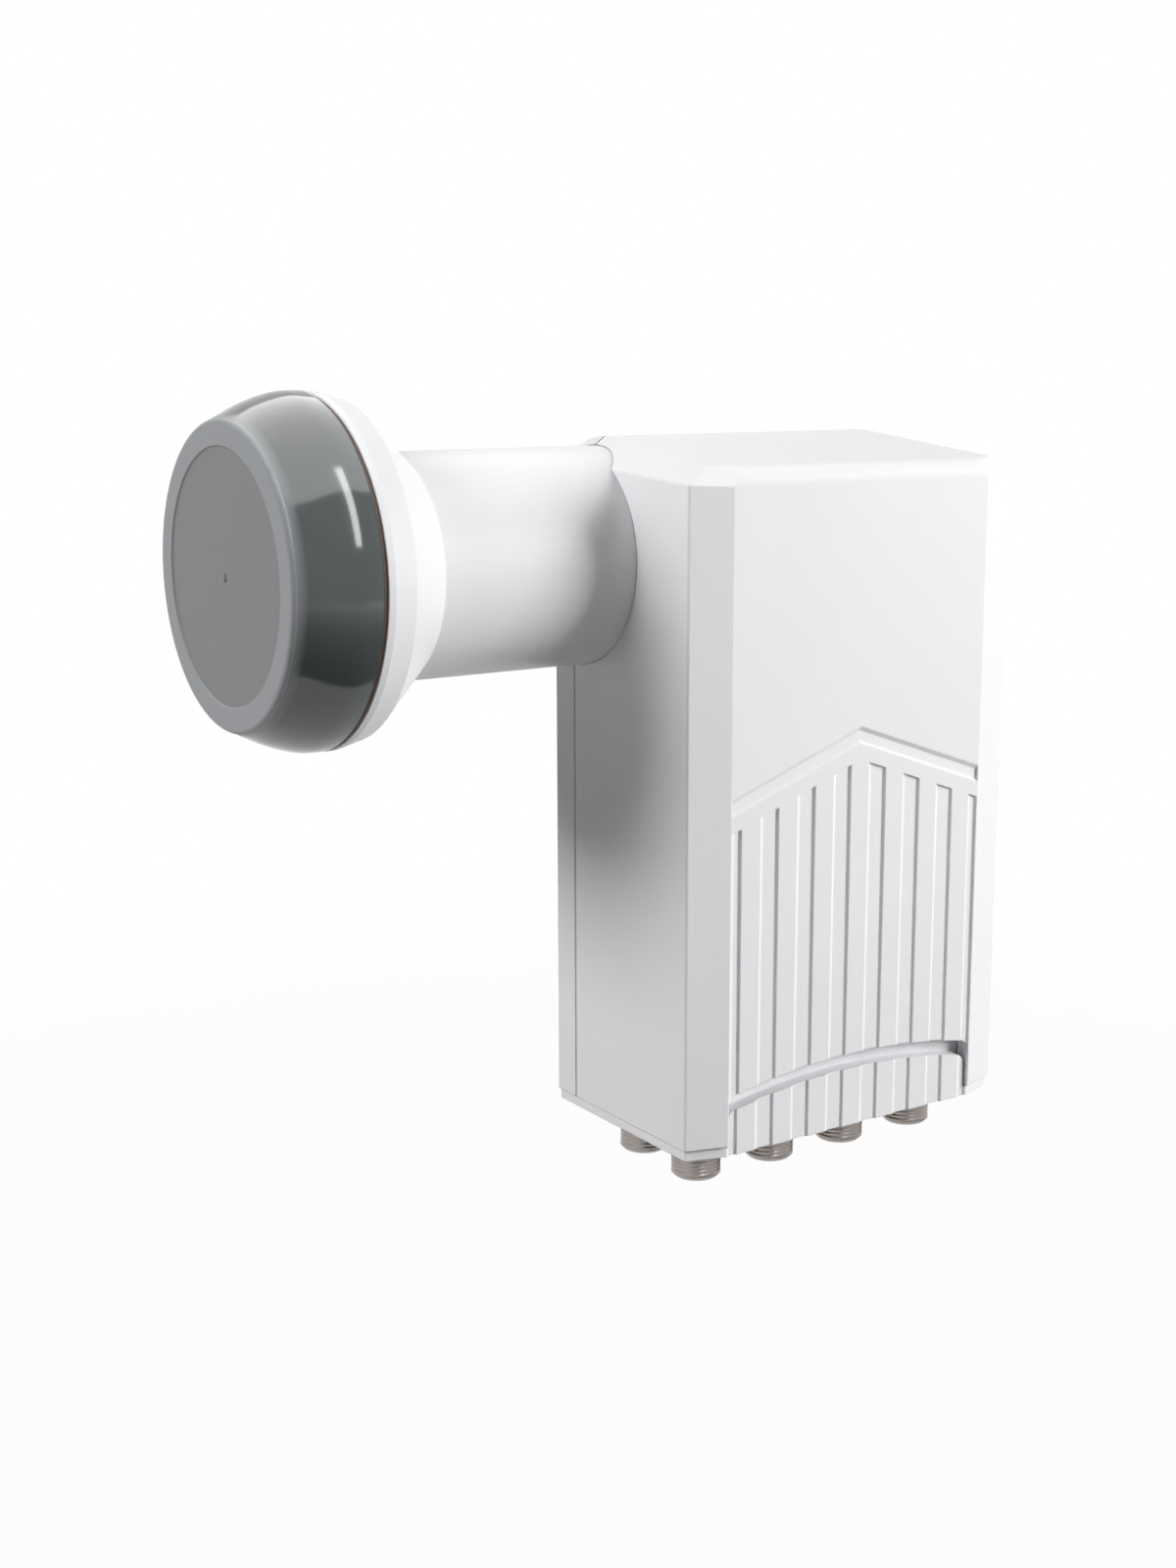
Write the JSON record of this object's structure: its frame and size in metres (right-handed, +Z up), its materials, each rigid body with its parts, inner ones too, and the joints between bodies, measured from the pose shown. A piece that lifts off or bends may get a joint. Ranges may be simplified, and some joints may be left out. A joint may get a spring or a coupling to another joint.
{
  "type": "satellite lnb",
  "caption": "Satellite LNB with a round grey feed cap on a clamping neck, a ribbed white housing, threaded cable ports below and a slide-down weather shield.",
  "frame": {"origin": "on the horn axis, in the middle of the clamping neck", "axes": "-Y along the horn axis out of the feed cap, +X out of the ribbed face, +Z up with the ports below"},
  "size_m": [0.0683, 0.1453, 0.1459],
  "materials": {
    "shell_white": "satin moulded weatherproof plastic",
    "cap_grey": "moulded grey plastic, matt front and smooth side",
    "seal_brown": "soft moulded seal",
    "cast_alloy": "raw die casting",
    "gasket_rubber": "black seal",
    "screw_steel": "zinc-plated steel",
    "port_nickel": "nickel-plated turned brass",
    "pin_brass": "plated wire",
    "insulator_white": "white insulating plastic",
    "board_green": "coated circuit board",
    "chip_black": "moulded package",
    "resonator_ceramic": "fired ceramic",
    "capacitor_can": "drawn can"
  },
  "bodies": {
    "housing": {"front_shell": "shell_white", "rear_cover": "shell_white", "horn_sleeve": "shell_white", "feed_cap": "cap_grey", "cap_seal": "seal_brown", "chassis": "cast_alloy", "chassis_lid": "cast_alloy", "lid_gasket": "gasket_rubber", "port_seals": "gasket_rubber", "lid_screws": "screw_steel", "rf_board_screws": "screw_steel", "switch_board_screws": "screw_steel", "shell_screws": "screw_steel", "rf_board": "board_green", "switch_board": "board_green", "board_link": "chip_black", "probe_horizontal": "pin_brass", "probe_vertical": "pin_brass", "isolation_rod": "pin_brass", "port_contacts": "pin_brass", "probe_bushes": "insulator_white", "port_insulators": "insulator_white", "resonators": "resonator_ceramic", "amplifier_transistors": "chip_black", "switch_chips": "chip_black", "regulators": "chip_black", "storage_capacitors": "capacitor_can", "port_nuts": "port_nickel", "port_1": "port_nickel", "port_2": "port_nickel", "port_3": "port_nickel", "port_4": "port_nickel", "port_5": "port_nickel", "port_6": "port_nickel", "port_7": "port_nickel", "port_8": "port_nickel"},
    "shield": {"weather_shield": "shell_white"}
  },
  "joints": [
    {"name": "shield_slide", "type": "slide", "parent": "housing", "child": "shield", "axis": [0, 0, -1], "range_m": [0, 0.025]}
  ]
}
